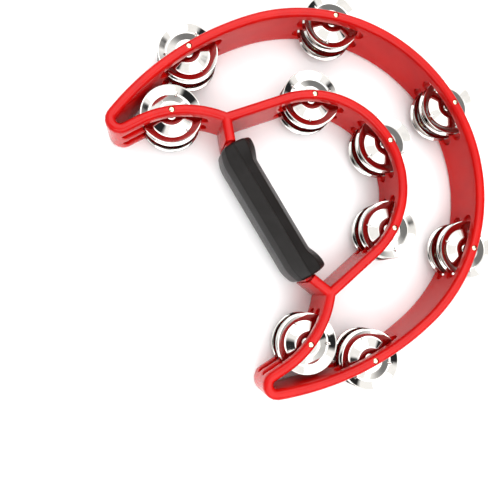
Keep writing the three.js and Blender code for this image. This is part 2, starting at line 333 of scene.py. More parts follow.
def make_plastic(name, colour, swirl_colour, worn_and_lit_colour, gloss, shine, grain, skin, marks):
    """gloss is (smooth, dull) roughness, shine the specular level, grain the skin's height in metres."""
    material = bpy.data.materials.new(name)
    material.use_nodes = True
    tree = material.node_tree
    shader = tree.nodes["Principled BSDF"]
    shader.inputs["Specular IOR Level"].default_value = shine
    mould = use_group(tree, moulded_skin, **skin)
    hands = use_group(tree, handling, **marks)
    flowed = blend_colours(tree, mould.outputs["Swirl"], colour, swirl_colour)
    # The lighter colour on sharp edges is part scuffing, part painted highlight.
    worn_and_lit = blend_colours(tree, hands.outputs["Wear"], flowed, worn_and_lit_colour)
    rough = add(tree, "ShaderNodeMapRange", To_Min=gloss[0], To_Max=gloss[1])
    bump = add(tree, "ShaderNodeBump", Strength=1.0, Distance=grain)
    ridges = maths(tree, "ADD", mould.outputs["Grain"], hands.outputs["Height"])
    join(
        tree,
        (worn_and_lit, shader.inputs["Base Color"]),
        (hands.outputs["Dullness"], rough.inputs["Value"]),
        (rough.outputs[0], shader.inputs["Roughness"]),
        (ridges, bump.inputs["Height"]),
        (bump.outputs[0], shader.inputs["Normal"]),
    )
    return material


red_plastic = make_plastic(
    "red_plastic",
    colour=(0.55, 0.003, 0.0015),
    swirl_colour=(0.49, 0.002, 0.002),
    # Lighter orange red on sharp edges and slot edges: part scuffing, part painted highlight.
    worn_and_lit_colour=(0.62, 0.02, 0.012),
    gloss=(0.18, 0.32),
    shine=0.22,
    grain=0.02 * MM,
    skin={"Grain_per_metre": 1400.0, "Swirl_per_metre": 26.0},
    marks={"Scratches": 0.5, "Fingermarks": 0.6, "Edges": 0.4},
)
black_plastic = make_plastic(
    "black_plastic",
    colour=(0.0075, 0.0062, 0.0056),
    swirl_colour=(0.011, 0.0095, 0.009),
    # Grey on sharp edges and the ridge bead: part scuffing, part painted highlight.
    worn_and_lit_colour=(0.10, 0.092, 0.085),
    gloss=(0.34, 0.46),
    shine=0.24,
    grain=0.10 * MM,
    skin={"Grain_per_metre": 2400.0, "Swirl_per_metre": 45.0},
    marks={"Scratches": 0.4, "Fingermarks": 0.8, "Edges": 0.9},
)
print("plastics:", red_plastic.name, black_plastic.name)

# %% Metal finishes
RING_SPACING = 0.16 * MM


def make_metal(name, colour, stain, gloss, marks, rings):
    """rings is the depth of the polishing rings, which follow the pin_distance attribute."""
    material = bpy.data.materials.new(name)
    material.use_nodes = True
    tree = material.node_tree
    shader = tree.nodes["Principled BSDF"]
    shader.inputs["Metallic"].default_value = 1.0
    hands = use_group(tree, handling, **marks)
    outward = add(tree, "ShaderNodeAttribute", attribute_name="pin_distance")
    place = add(tree, "ShaderNodeTexCoord")
    spacing = maths(tree, "DIVIDE", outward.outputs["Fac"], RING_SPACING)
    wheel = add(tree, "ShaderNodeTexNoise", noise_dimensions="1D", Scale=1.0, Detail=2.0)
    cloud = add(tree, "ShaderNodeTexNoise", Scale=90.0, Detail=4.0, Roughness=0.6)
    haze = add(tree, "ShaderNodeMapRange", From_Min=0.45, From_Max=0.7)
    rough = add(tree, "ShaderNodeMapRange", To_Min=gloss[0], To_Max=gloss[1])
    bump = add(tree, "ShaderNodeBump", Strength=1.0, Distance=rings)
    ridges = maths(tree, "ADD", wheel.outputs["Fac"], hands.outputs["Height"])
    join(
        tree,
        (spacing, wheel.inputs["W"]),
        (place.outputs["Object"], cloud.inputs["Vector"]),
        (cloud.outputs["Fac"], haze.inputs["Value"]),
        (blend_colours(tree, haze.outputs[0], colour, stain), shader.inputs["Base Color"]),
        (hands.outputs["Dullness"], rough.inputs["Value"]),
        (rough.outputs[0], shader.inputs["Roughness"]),
        (ridges, bump.inputs["Height"]),
        (bump.outputs[0], shader.inputs["Normal"]),
    )
    return material


nickel = make_metal(
    "nickel",
    colour=(0.60, 0.58, 0.55),
    stain=(0.54, 0.52, 0.49),
    gloss=(0.05, 0.16),
    marks={"Scratches": 0.6, "Fingermarks": 0.5, "Edges": 0.0},
    rings=0.002 * MM,
)
steel = make_metal(
    "steel",
    colour=(0.80, 0.70, 0.48),
    stain=(0.72, 0.60, 0.38),
    gloss=(0.16, 0.30),
    marks={"Scratches": 0.6, "Fingermarks": 0.4, "Edges": 0.0},
    rings=0.003 * MM,
)
print("metals:", nickel.name, steel.name)

# %% [markdown]
# ## The frame's centre lines
#
# Seen from above, the crescent is a chain of arcs that run into each other: a crown, long sides,
# tight turns round the horns' tips, hollow inner sides, and an inner crown with straight legs.
# Three walls meet where the handle begins, so the frame is drawn as separate walls that all end
# on that point: the outer wall, the inner crown, and a short stub to the handle on each side.
# Each line becomes a curve object, and the walls will be wrapped along these curves.

# %% Sizes of the crescent, and the arcs of one side
BAND_WIDTH = 7 * MM
BAND_HEIGHT = 36 * MM
CROWN_CENTRE_Y = 13.5 * MM
HALF_WIDTH = 128.4 * MM
SIDE_RADIUS = 215 * MM  # outside of the band, as HALF_WIDTH is
INNER_CROWN_RADIUS = 63 * MM
INNER_LEG_SPLAY = math.radians(9.7)
TIP_RADIUS = 6.3 * MM
HORN_RADIUS = 69 * MM
HORN_CENTRE = Vector((25.9, -73)) * MM
JUNCTION_Y = -19.5 * MM
HANDLE_Y = -25.5 * MM
HANDLE_HALF_LENGTH = 54.2 * MM
LINE_STEP = 0.5 * MM

side_x = HALF_WIDTH - SIDE_RADIUS
crown_outside = SIDE_RADIUS - math.hypot(side_x, CROWN_CENTRE_Y)
crown_radius = crown_outside - BAND_WIDTH / 2
side_radius = SIDE_RADIUS - BAND_WIDTH / 2
crown_end = math.atan2(CROWN_CENTRE_Y, -side_x)
horn_x = HORN_CENTRE.x + HORN_RADIUS
tip_x = horn_x + TIP_RADIUS
tip_y = -math.sqrt((side_radius - TIP_RADIUS) ** 2 - (tip_x - side_x) ** 2)
side_end = math.atan2(tip_y, tip_x - side_x)
junction_angle = math.asin((JUNCTION_Y - HORN_CENTRE.y) / HORN_RADIUS)
junction_x = HORN_CENTRE.x + HORN_RADIUS * math.cos(junction_angle)

# The design's origin is under the middle of its box; these sizes are drawn from the crown.
to_origin = Vector((0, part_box("frame")[1].y - CROWN_CENTRE_Y - crown_outside))


def arc(x, y, radius, start, end):
    count = math.ceil(abs(end - start) * radius / LINE_STEP)
    angles = [start + (end - start) * i / count for i in range(count + 1)]
    return [Vector((x + radius * math.cos(a), y + radius * math.sin(a))) for a in angles]


right_side = arc(0, CROWN_CENTRE_Y, crown_radius, math.pi / 2, crown_end)
right_side += arc(side_x, 0, side_radius, crown_end, side_end)[1:]
right_side += arc(tip_x, tip_y, TIP_RADIUS, side_end, -math.pi)[1:]
right_side += arc(*HORN_CENTRE, HORN_RADIUS, 0, junction_angle)
right_leg = [Vector((junction_x, JUNCTION_Y))]
right_leg += arc(0, CROWN_CENTRE_Y, INNER_CROWN_RADIUS, INNER_LEG_SPLAY, math.pi / 2)


def mirrored(line):
    return [Vector((-p.x, p.y)) for p in reversed(line)]


centre_lines = {
    "outer_wall": mirrored(right_side) + right_side[1:],
    "inner_crown": right_leg + mirrored(right_leg)[1:],
    "stub_right": [right_leg[0], Vector((HANDLE_HALF_LENGTH, HANDLE_Y))],
    "stub_left": [mirrored(right_leg)[-1], Vector((-HANDLE_HALF_LENGTH, HANDLE_Y))],
    "handle_core": [Vector((-HANDLE_HALF_LENGTH, HANDLE_Y)), Vector((HANDLE_HALF_LENGTH, HANDLE_Y))],
}
centre_lines = {name: [p + to_origin for p in line] for name, line in centre_lines.items()}
print("points on each line:", {name: len(line) for name, line in centre_lines.items()})


# %% Centre lines as curve objects
def curve_from(name, line):
    data = bpy.data.curves.new(name, "CURVE")
    data.dimensions = "3D"
    spline = data.splines.new("POLY")
    spline.points.add(len(line) - 1)
    for point, place in zip(spline.points, line):
        point.co = (place.x, place.y, 0, 1)
    guide = bpy.data.objects.new(name, data)
    bpy.context.scene.collection.objects.link(guide)
    return guide


def lengths_along(line):
    """The distance from the start of a line to each of its points."""
    total = [0.0]
    for before, after in zip(line, line[1:]):
        total.append(total[-1] + (after - before).length)
    return total


guides = {name: curve_from("guide_" + name, line) for name, line in centre_lines.items()}
for name, line in centre_lines.items():
    print(name, "is", round(lengths_along(line)[-1] / MM, 1), "mm long")

# %% [markdown]
# ## Walls with slots
#
# Cutting twenty slots with booleans would leave ragged edges that no bevel can round well. It is
# easier to draw each wall straight and flat first: columns of vertices run along it, and where a
# slot lies, the rows part above and below it. The slot's edge is then a clean loop that can be
# rolled inwards in small steps, and so can the rims. Geometry Nodes wraps the flat wall along
# its curve afterwards, exactly as the moulder's drawing would be rolled up.

# %% Where the slots lie on a wall
SLOT_HEIGHT = 8.4 * MM
SLOT_PITCH = 13.4 * MM
SLOT_LENGTH = 52.2 * MM
HORN_SLOT_LENGTH = 61.8 * MM
HORN_SLOT_SHIFT = 4.9 * MM  # towards the tip
SLOT_EDGE = 0.7 * MM  # rounding of the slot's edges
RIM_ROUNDING = 2.9 * MM

stations = [f"{row}_{i}" for row in ("outer", "inner") for i in range(1, 6)]


def pin_place(station):
    low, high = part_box("pin_" + station)
    return (low + high) / 2


def slots_on(wall, names):
    """(middle, half length) of each station's slots, measured along the wall's centre line."""
    line = centre_lines[wall]
    along = lengths_along(line)
    found = []
    for name in names:
        pin = pin_place(name).to_2d()
        nearest = min(range(len(line)), key=lambda i: (line[i] - pin).length)
        horn = name in ("inner_1", "inner_5")
        shift = HORN_SLOT_SHIFT * (1 if along[nearest] < along[-1] / 2 else -1) if horn else 0
        length = HORN_SLOT_LENGTH if horn else SLOT_LENGTH
        found.append((along[nearest] + shift, length / 2))
    return sorted(found)


outer_slots = slots_on("outer_wall", ["inner_1"] + stations[:5] + ["inner_5"])
inner_slots = slots_on("inner_crown", stations[6:9])
print("slots on the outer wall:", [round(middle / MM) for middle, half in outer_slots])
print("slots on the inner crown:", [round(middle / MM) for middle, half in inner_slots])

# %% Columns of vertices along a flat wall
COLUMN_STEP = 2.2 * MM
END_STEPS = 9  # columns round one end of a slot
ROWS_PER_BAND = 2
ROLL_STEPS = 3  # steps of a slot's rounded edge
RIM_STEPS = 6  # steps of a rim's rounded edge
SLOT_LEVELS = (BAND_HEIGHT / 2 - SLOT_PITCH / 2, BAND_HEIGHT / 2 + SLOT_PITCH / 2)
SLOT_MOUTH = SLOT_HEIGHT / 2 + SLOT_EDGE  # half the height of a slot where its edge begins
NOTHING = 1e-7  # metres; a slot that opens less than this is still shut
QUARTER = math.pi / 2


def between(start, end):
    """Evenly spaced places between two ends, without the ends."""
    count = max(1, round((end - start) / COLUMN_STEP))
    return [start + (end - start) * i / count for i in range(1, count)]


def slot_columns(middle, half):
    """Columns as (centre of the rounded end, angle): round one end, along the slot, round the other."""
    first, last = middle - half + SLOT_HEIGHT / 2, middle + half - SLOT_HEIGHT / 2
    angles = [QUARTER * i / END_STEPS for i in range(END_STEPS)]
    columns = [(first, math.pi - angle) for angle in angles]
    columns += [(place, QUARTER) for place in [first, *between(first, last), last]]
    return columns + [(last, angle) for angle in reversed(angles)]


def wall_columns(length, slots):
    """All columns of a wall, and each slot's first and last column. A plain column's angle is None."""
    columns, spans, start = [(0.0, None)], [], 0.0
    for middle, half in slots:
        ends = middle - half - SLOT_EDGE, middle + half + SLOT_EDGE
        columns += [(place, None) for place in between(start, ends[0])]
        here = slot_columns(middle, half)
        spans.append((len(columns), len(columns) + len(here) - 1))
        columns += here
        start = ends[1]
    columns += [(place, None) for place in between(start, length)] + [(length, None)]
    return columns, spans


print("columns round a slot:", len(slot_columns(0, SLOT_LENGTH / 2)))


# %% The flat wall's mesh
class FlatWall:
    """A straight wall from x = 0 with its middle on y = 0, slots through it and rounded rims."""

    def __init__(self, length, width, low, high, slots=()):
        self.width, self.low, self.high = width, low, high
        self.levels = SLOT_LEVELS if slots else ()
        self.points, self.faces = [], []
        self.columns, spans = wall_columns(length, slots)
        self.near = [self.side_rows(column, -width / 2) for column in self.columns]
        self.far = [self.side_rows(column, width / 2) for column in self.columns]
        self.top = [self.rim(column, 1) for column in self.columns]
        self.bottom = [self.rim(column, -1) for column in self.columns]
        rings = [self.section(i) for i in range(len(self.columns))]
        for before, after in zip(rings, rings[1:]):
            for stretch, next_stretch in zip(before, after):
                self.fill(stretch, next_stretch)
        for first, last in spans:
            for level in range(len(self.levels)):
                self.roll_slot(first, last, level)
        self.faces.append(self.outline(rings[0]))
        self.faces.append(self.outline(rings[-1])[::-1])

    def point(self, x, y, z):
        self.points.append((x, y, z))
        return len(self.points) - 1

    def column_x(self, column, reach):
        place, angle = column
        return place if angle is None else place + reach * math.cos(angle)

    def side_rows(self, column, y):
        """The rows of one column as a band below, between and above the slots."""
        angle = column[1]
        x = self.column_x(column, SLOT_MOUTH)
        split = 0.0 if angle is None else SLOT_MOUTH * math.sin(angle)
        bands, below = [], self.point(x, y, self.low + RIM_ROUNDING)
        for level in [*self.levels, None]:
            start = self.points[below][2]
            end = self.high - RIM_ROUNDING if level is None else level - split
            steps = range(1, ROWS_PER_BAND + 1)
            rows = [self.point(x, y, start + (end - start) * i / ROWS_PER_BAND) for i in steps]
            bands.append([below, *rows])
            if level is not None:
                below = self.point(x, y, level + split) if split > NOTHING else rows[-1]
        return bands

    def rim(self, column, up):
        """The points over the top, from near to far, or under the bottom, from far to near."""
        x = self.column_x(column, SLOT_MOUTH)
        edge = self.high if up > 0 else self.low
        flat = self.width / 2 - RIM_ROUNDING
        rolled = [QUARTER * i / RIM_STEPS for i in range(1, RIM_STEPS + 1)]
        quarter = [(-flat - RIM_ROUNDING * math.cos(a), RIM_ROUNDING * (1 - math.sin(a))) for a in rolled]
        whole = quarter + [(-y, drop) for y, drop in reversed(quarter)]
        return [self.point(x, up * y, edge - up * drop) for y, drop in whole]

    def section(self, i):
        """One closed section as stretches, up the near side, over, down the far side and under."""
        near, far = self.near[i], [band[::-1] for band in reversed(self.far[i])]
        over = [near[-1][-1], *self.top[i], far[0][0]]
        under = [far[-1][-1], *self.bottom[i], near[0][0]]
        return [*near, over, *far, under]

    def outline(self, stretches):
        return [p for stretch in stretches for p in stretch[:-1]]

    def fill(self, before, after):
        for a, b, c, d in zip(before, after, after[1:], before[1:]):
            self.faces.append((a, b, c, d))

    def slot_loop(self, side, first, last, level):
        lower = [side[i][level][-1] for i in range(first, last + 1)]
        upper = [side[i][level + 1][0] for i in range(last - 1, first, -1)]
        return lower + upper

    def roll_slot(self, first, last, level):
        """Rolls a slot's edge inwards from both sides and joins the two."""
        spots = [(self.columns[i], -1) for i in range(first, last + 1)]
        spots += [(self.columns[i], 1) for i in range(last - 1, first, -1)]
        loops = [self.slot_loop(self.near, first, last, level)]
        for y_side in (-1, 1):
            steps = range(1, ROLL_STEPS + 1)
            for i in steps if y_side < 0 else reversed(steps):
                angle = QUARTER * i / ROLL_STEPS
                reach = SLOT_HEIGHT / 2 + SLOT_EDGE * (1 - math.sin(angle))
                y = y_side * (self.width / 2 - SLOT_EDGE * (1 - math.cos(angle)))
                loops.append([
                    self.point(
                        self.column_x(column, reach),
                        y,
                        self.levels[level] + up * reach * math.sin(column[1]),
                    )
                    for column, up in spots
                ])
        loops.append(self.slot_loop(self.far, first, last, level))
        for before, after in zip(loops, loops[1:]):
            self.fill(after + after[:1], before + before[:1])

    def make(self, name):
        mesh = bpy.data.meshes.new(name)
        mesh.from_pydata(self.points, [], self.faces)
        wall = bpy.data.objects.new(name, mesh)
        bpy.context.scene.collection.objects.link(wall)
        return wall


CORE_LOW, CORE_HIGH = 5 * MM, 31 * MM  # the bar is lower inside the grip


def flat_wall(name):
    length = lengths_along(centre_lines[name])[-1]
    low, high = (CORE_LOW, CORE_HIGH) if name == "handle_core" else (0, BAND_HEIGHT)
    slots = {"outer_wall": outer_slots, "inner_crown": inner_slots}.get(name, ())
    wall = FlatWall(length, BAND_WIDTH, low, high, slots).make(name)
    print(name, "has", len(wall.data.polygons), "faces")
    return wall


walls = {name: flat_wall(name) for name in centre_lines}

# %% Geometry Nodes: wrap a flat wall along a line
NODE_STEP = 190  # room between nodes when the tree is opened to read


def new_tree(name, inputs):
    """A geometry tree with inputs {name: socket type}, a group input and a group output."""
    tree = bpy.data.node_groups.new(name, "GeometryNodeTree")
    tree.interface.new_socket("Geometry", in_out="INPUT", socket_type="NodeSocketGeometry")
    for label, kind in inputs.items():
        tree.interface.new_socket(label, in_out="INPUT", socket_type=kind)
    tree.interface.new_socket("Geometry", in_out="OUTPUT", socket_type="NodeSocketGeometry")
    return tree, tree.nodes.new("NodeGroupInput"), tree.nodes.new("NodeGroupOutput")


def lay_out(tree):
    for i, node in enumerate(tree.nodes):
        node.location = (NODE_STEP * (i // 3), -NODE_STEP * (i % 3))


def make_wrap_tree():
    """x becomes the way along the line, y the way across it, and z stays the height."""
    sockets = {"Line": "NodeSocketObject", "Finish": "NodeSocketMaterial"}
    tree, given, result = new_tree("wrap_along_line", sockets)
    line = add(tree, "GeometryNodeObjectInfo", transform_space="RELATIVE")
    here = add(tree, "GeometryNodeInputPosition")
    parts = add(tree, "ShaderNodeSeparateXYZ")
    sample = add(tree, "GeometryNodeSampleCurve", mode="LENGTH", use_all_curves=True)
    across = add(tree, "ShaderNodeVectorMath", operation="CROSS_PRODUCT")
    across.inputs[0].default_value = (0, 0, 1)
    across_way = add(tree, "ShaderNodeVectorMath", operation="NORMALIZE")
    shift = add(tree, "ShaderNodeVectorMath", operation="SCALE")
    raised = add(tree, "ShaderNodeCombineXYZ")
    side = add(tree, "ShaderNodeVectorMath", operation="ADD")
    total = add(tree, "ShaderNodeVectorMath", operation="ADD")
    place = add(tree, "GeometryNodeSetPosition")
    whole = add(tree, "GeometryNodeRealizeInstances")
    paint = add(tree, "GeometryNodeSetMaterial")
    join(
        tree,
        (given.outputs["Line"], line.inputs["Object"]),
        (line.outputs["Geometry"], sample.inputs["Curves"]),
        (here.outputs[0], parts.inputs[0]),
        (parts.outputs["X"], sample.inputs["Length"]),
        (sample.outputs["Tangent"], across.inputs[1]),
        (across.outputs[0], across_way.inputs[0]),
        (across_way.outputs[0], shift.inputs[0]),
        (parts.outputs["Y"], shift.inputs["Scale"]),
        (parts.outputs["Z"], raised.inputs["Z"]),
        (sample.outputs["Position"], side.inputs[0]),
        (shift.outputs[0], side.inputs[1]),
        (side.outputs[0], total.inputs[0]),
        (raised.outputs[0], total.inputs[1]),
        (given.outputs["Geometry"], place.inputs["Geometry"]),
        (total.outputs[0], place.inputs["Position"]),
        (place.outputs[0], whole.inputs[0]),
        (whole.outputs[0], paint.inputs["Geometry"]),
        (given.outputs["Finish"], paint.inputs["Material"]),
        (paint.outputs[0], result.inputs[0]),
    )
    lay_out(tree)
    return tree


def run_tree(thing, tree, values):
    """Gives thing a geometry tree with these inputs and bakes the result into its mesh."""
    modifier = thing.modifiers.new(tree.name, "NODES")
    modifier.node_group = tree
    sockets = {s.name: s.identifier for s in tree.interface.items_tree if s.in_out == "INPUT"}
    for name, value in values.items():
        modifier[sockets[name]] = value
    return bake(thing)


def bake(thing):
    """Replaces an object's mesh by what its modifiers make of it."""
    bpy.context.view_layer.update()
    evaluated = thing.evaluated_get(bpy.context.evaluated_depsgraph_get())
    made = bpy.data.meshes.new_from_object(evaluated)
    thing.modifiers.clear()
    thing.data = made
    made.name = thing.name
    return thing


wrap_along_line = make_wrap_tree()
for name, wall in walls.items():
    run_tree(wall, wrap_along_line, {"Line": guides[name], "Finish": red_plastic})
print("wrapped", len(walls), "walls")

# %% [markdown]
# ## One moulding
#
# The walls meet on the junction points with their ends exactly on the centre, so a union leaves
# ridges that run together in a Y, with a crisp valley between them, as in the mould. A second
# boolean drills the stepped holes that the pins are pressed into. A boolean leaves tiny splits, so
# the result is welded, and it should then have no open edge.

# %% Holes for the pins
PIN_RADIUS = 1.3 * MM
PIN_HEAD_RADIUS = 1.9 * MM
PIN_HEAD_HEIGHT = 1.2 * MM
PIN_FLOOR = 2.5 * MM
PIN_PLAY = 0.15 * MM
PIN_SIDES = 24
DRILL_TURN = 0.11  # keeps the drill's corners off the wall's own edges


def lathe(mesh, outline, place, start=0.0):
    """Adds a turned body through place; outline is (radius, height) from axis to axis."""
    rings = []
    for radius, z in outline:
        if radius == 0:
            rings.append([mesh.verts.new((place.x, place.y, z))] * PIN_SIDES)
            continue
        turns = [start + math.tau * i / PIN_SIDES for i in range(PIN_SIDES)]
        rings.append([
            mesh.verts.new((place.x + radius * math.cos(a), place.y + radius * math.sin(a), z))
            for a in turns
        ])
    for before, after in zip(rings, rings[1:]):
        for i in range(PIN_SIDES):
            k = (i + 1) % PIN_SIDES
            corners = dict.fromkeys([before[i], before[k], after[k], after[i]])
            mesh.faces.new(list(corners))


drill_mesh = bmesh.new()
ledge = BAND_HEIGHT - PIN_HEAD_HEIGHT - 2 * PIN_PLAY
for station in stations:
    hole = [
        (0, PIN_FLOOR),
        (PIN_RADIUS + PIN_PLAY, PIN_FLOOR),
        (PIN_RADIUS + PIN_PLAY, ledge),
        (PIN_HEAD_RADIUS + PIN_PLAY, ledge),
        (PIN_HEAD_RADIUS + PIN_PLAY, BAND_HEIGHT + MM),
        (0, BAND_HEIGHT + MM),
    ]
    lathe(drill_mesh, hole, pin_place(station), DRILL_TURN)
drill_data = bpy.data.meshes.new("drills")
drill_mesh.to_mesh(drill_data)
drill_mesh.free()
drills = bpy.data.objects.new("drills", drill_data)
bpy.context.scene.collection.objects.link(drills)
print("drills:", len(drill_data.polygons), "faces")

# %% Union and drilling
SHARP_FROM = math.radians(38)
WELD = 0.001 * MM


def boolean(thing, operation, others):
    tools = bpy.data.collections.new("tools_" + operation.lower())
    for other in others:
        tools.objects.link(other)
    cut = thing.modifiers.new(operation, "BOOLEAN")
    cut.operation = operation
    cut.operand_type = "COLLECTION"
    cut.collection = tools
    cut.solver = "EXACT"
    bake(thing)
    bpy.data.collections.remove(tools)


def finish_mesh(thing, material, sharp_from=SHARP_FROM):
    thing.data.materials.clear()
    thing.data.materials.append(material)
    thing.data.shade_smooth()
    thing.data.set_sharp_from_angle(angle=sharp_from)


def clean(thing):
    """Welds what a boolean leaves split, drops faces without area and cuts large faces in triangles."""
    shape = bmesh.new()
    shape.from_mesh(thing.data)
    bmesh.ops.remove_doubles(shape, verts=shape.verts, dist=WELD)
    bmesh.ops.dissolve_degenerate(shape, dist=WELD, edges=shape.edges)
    large = [face for face in shape.faces if len(face.verts) > 4]
    bmesh.ops.triangulate(shape, faces=large)
    bmesh.ops.dissolve_degenerate(shape, dist=WELD, edges=shape.edges)
    open_edges = sum(1 for edge in shape.edges if len(edge.link_faces) != 2)
    shape.to_mesh(thing.data)
    shape.free()
    thing.data.validate()
    print(thing.name, "has", open_edges, "open edges")


def volume(thing):
    shape = bmesh.new()
    shape.from_mesh(thing.data)
    amount = shape.calc_volume(signed=True)
    shape.free()
    return amount


moulding = walls.pop("outer_wall")
boolean(moulding, "UNION", walls.values())
boolean(moulding, "DIFFERENCE", [drills])
for spent in [*walls.values(), drills, *guides.values()]:
    bpy.data.objects.remove(spent)
moulding.name = "crescent_frame"
moulding.data.name = "crescent_frame"
clean(moulding)
finish_mesh(moulding, red_plastic)
print("frame:", len(moulding.data.polygons), "faces,", round(volume(moulding) * 1e6, 1), "cm3")


def depth_below(thing, place):
    """How far below the top of the frame a plumb line at that place first touches thing."""
    start = Vector((place.x, place.y, 2 * BAND_HEIGHT))
    hit, spot = thing.ray_cast(start, Vector((0, 0, -1)))[:2]
    return BAND_HEIGHT - spot.z if hit else math.inf


bpy.context.view_layer.update()
depths = [depth_below(moulding, pin_place(name)) for name in stations]
print("depth of the pin holes in mm:", [round(depth / MM, 1) for depth in depths])

# %% The frame takes its place in the design
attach(moulding, "frame")
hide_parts("frame")
print(moulding.name, "rides on the frame")

# %% [markdown]
# ## The grip
#
# Two black shells close round the handle bar and are bonded along the ridge. The section has
# flat facets for the palm and the fingers, and on the finger side it swells at both ends, so
# that the hand can't slip off. Each shell is a loft: the same closed section, drawn again and
# again along the handle, with its outer skin pushed in or out at each station. Small arcs round
# the facets' corners and the ends, as every moulded edge is rounded.

# %% The section of a shell
GRIP_HALF_LENGTH = 52.6 * MM
SEAM_GAP = 0.04 * MM  # half of the fine groove between the shells
CHANNEL_HALF_WIDTH = BAND_WIDTH / 2 + 0.3 * MM
CHANNEL_HALF_HEIGHT = (CORE_HIGH - CORE_LOW) / 2 + 0.3 * MM
CORNER_STEPS = 5

# Corners from the ridge down to half height, in mm: way out from the seam, height, rounding.
BEAD_FOOT = (0.75, 17.55, 0.15)  # a fine bead stands along the ridge, where the mould closed
PALM_CORNERS = [BEAD_FOOT, (8.6, 15, 0.7), (11.3, 8.5, 1.0), (11.8, 0, 6.0)]
FINGER_CORNERS = [BEAD_FOOT, (9.5, 15, 0.8), (15.5, 8.5, 1.1), (17.3, 0, 6.0)]
RIDGE_CORNER = (0.04, 18, 0.25)
RIDGE_END_HEIGHT = 17.2  # where the skin turns in from the ridge to the seam


def rounded(corners, steps=CORNER_STEPS):
    """A line through 2D corners (x, y, rounding), each inner corner replaced by a small curve."""
    spots = [Vector(corner[:2]) for corner in corners]
    line = [spots[0]]
    for before, spot, after, corner in zip(spots, spots[1:], spots[2:], corners[1:]):
        back, ahead = before - spot, after - spot
        reach = min(corner[2], back.length * 0.49, ahead.length * 0.49)
        start, end = spot + back.normalized() * reach, spot + ahead.normalized() * reach
        for i in range(steps + 1):
            t = i / steps
            line.append(start * (1 - t) ** 2 + spot * 2 * t * (1 - t) + end * t**2)
    return line + [spots[-1]]


def shell_skin(corners):
    """The outer skin from the ridge over the side to the lower ridge, in metres."""
    below = [(out, -up, rounding) for out, up, rounding in corners[-2::-1]]
    ridge_out, ridge_up, ridge_rounding = RIDGE_CORNER
    ends = (ridge_out, RIDGE_END_HEIGHT, 0), (ridge_out, -RIDGE_END_HEIGHT, 0)
    ridges = RIDGE_CORNER, (ridge_out, -ridge_up, ridge_rounding)
    return [p * MM for p in rounded([ends[0], ridges[0], *corners, *below, ridges[1], ends[1]])]


print("a shell's skin has", len(shell_skin(PALM_CORNERS)), "points")

# %% How deep each side is along the handle
LOBE_LENGTH = 17 * MM
LOBE_CUT = 0.55  # what the grip's end cuts off the swelling, as a share of its length
WAIST = 0.74
END_TAPER = 0.68
TAPER_LENGTH = 13 * MM
END_ROUNDING = 2.4 * MM
END_RINGS = 7
SHELL_RINGS = 64


def finger_depth(from_end):
    if from_end > LOBE_LENGTH:
        return WAIST
    share = (from_end / LOBE_LENGTH + LOBE_CUT) / (1 + LOBE_CUT)
    return WAIST + (1 - WAIST) * math.sin(math.pi * share)


def palm_depth(from_end):
    if from_end > TAPER_LENGTH:
        return 1.0
    return END_TAPER + (1 - END_TAPER) * math.sin(QUARTER * from_end / TAPER_LENGTH)


def ring_places():
    """Places along the handle, crowded at both rounded ends."""
    rolled = [END_ROUNDING * (1 - math.cos(QUARTER * i / END_RINGS)) for i in range(END_RINGS)]
    span = 2 * (GRIP_HALF_LENGTH - END_ROUNDING)
    body = [END_ROUNDING + span * i / SHELL_RINGS for i in range(SHELL_RINGS + 1)]
    places = rolled + body + [2 * GRIP_HALF_LENGTH - place for place in reversed(rolled)]
    return [place - GRIP_HALF_LENGTH for place in places]


print("rings along the grip:", len(ring_places()))


# %% Loft a shell
handle_y = HANDLE_Y + to_origin.y
handle_z = BAND_HEIGHT / 2


def shell_ring(skin, depth_at, place, side):
    """One closed section: the outer skin, then back along the seam and the channel."""
    from_end = GRIP_HALF_LENGTH - abs(place)
    depth = depth_at(from_end)
    into = max(0.0, END_ROUNDING - from_end)
    shrink = END_ROUNDING - math.sqrt(max(0.0, END_ROUNDING**2 - into**2))
    ring = []
    for point in skin:
        out, up = point.x * depth, point.y
        scale = 1 - shrink / math.hypot(out, up)
        ring.append((max(out * scale, SEAM_GAP), up * scale))
    ring += [
        (SEAM_GAP, -CHANNEL_HALF_HEIGHT),
        (CHANNEL_HALF_WIDTH, -CHANNEL_HALF_HEIGHT),
        (CHANNEL_HALF_WIDTH, CHANNEL_HALF_HEIGHT),
        (SEAM_GAP, CHANNEL_HALF_HEIGHT),
    ]
    return [(place, handle_y + side * out, handle_z + up) for out, up in ring]


def make_shell(name, corners, depth_at, side):
    shape = bmesh.new()
    skin = shell_skin(corners)
    rings = [
        [shape.verts.new(p) for p in shell_ring(skin, depth_at, place, side)]
        for place in ring_places()
    ]
    for before, after in zip(rings, rings[1:]):
        for i, corner in enumerate(before):
            k = (i + 1) % len(before)
            shape.faces.new((corner, before[k], after[k], after[i]))
    shape.faces.new(rings[0])
    shape.faces.new(rings[-1][::-1])
    bmesh.ops.recalc_face_normals(shape, faces=shape.faces)
    mesh = bpy.data.meshes.new(name)
    shape.to_mesh(mesh)
    shape.free()
    shell = bpy.data.objects.new(name, mesh)
    bpy.context.scene.collection.objects.link(shell)
    finish_mesh(shell, black_plastic)
    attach(shell, "frame")
    print(name, "has", len(mesh.polygons), "faces,", round(volume(shell) * 1e6, 1), "cm3")
    return shell


finger_shell = make_shell("grip_finger_shell", FINGER_CORNERS, finger_depth, 1)
palm_shell = make_shell("grip_palm_shell", PALM_CORNERS, palm_depth, -1)
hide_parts("grip_finger_half")
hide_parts("grip_palm_half")

# %% [markdown]
# ## Ten pins
#
# All pins are alike and belong to the frame, so Geometry Nodes can set them: one vertex marks
# each station, and the tree puts a copy of a turned pin on every vertex. The copies are then
# made real, because a file of loose instances would lose them.

# %% One pin, as a turned body
PIN_RECESS = 0.1 * MM
DOME_STEPS = 5


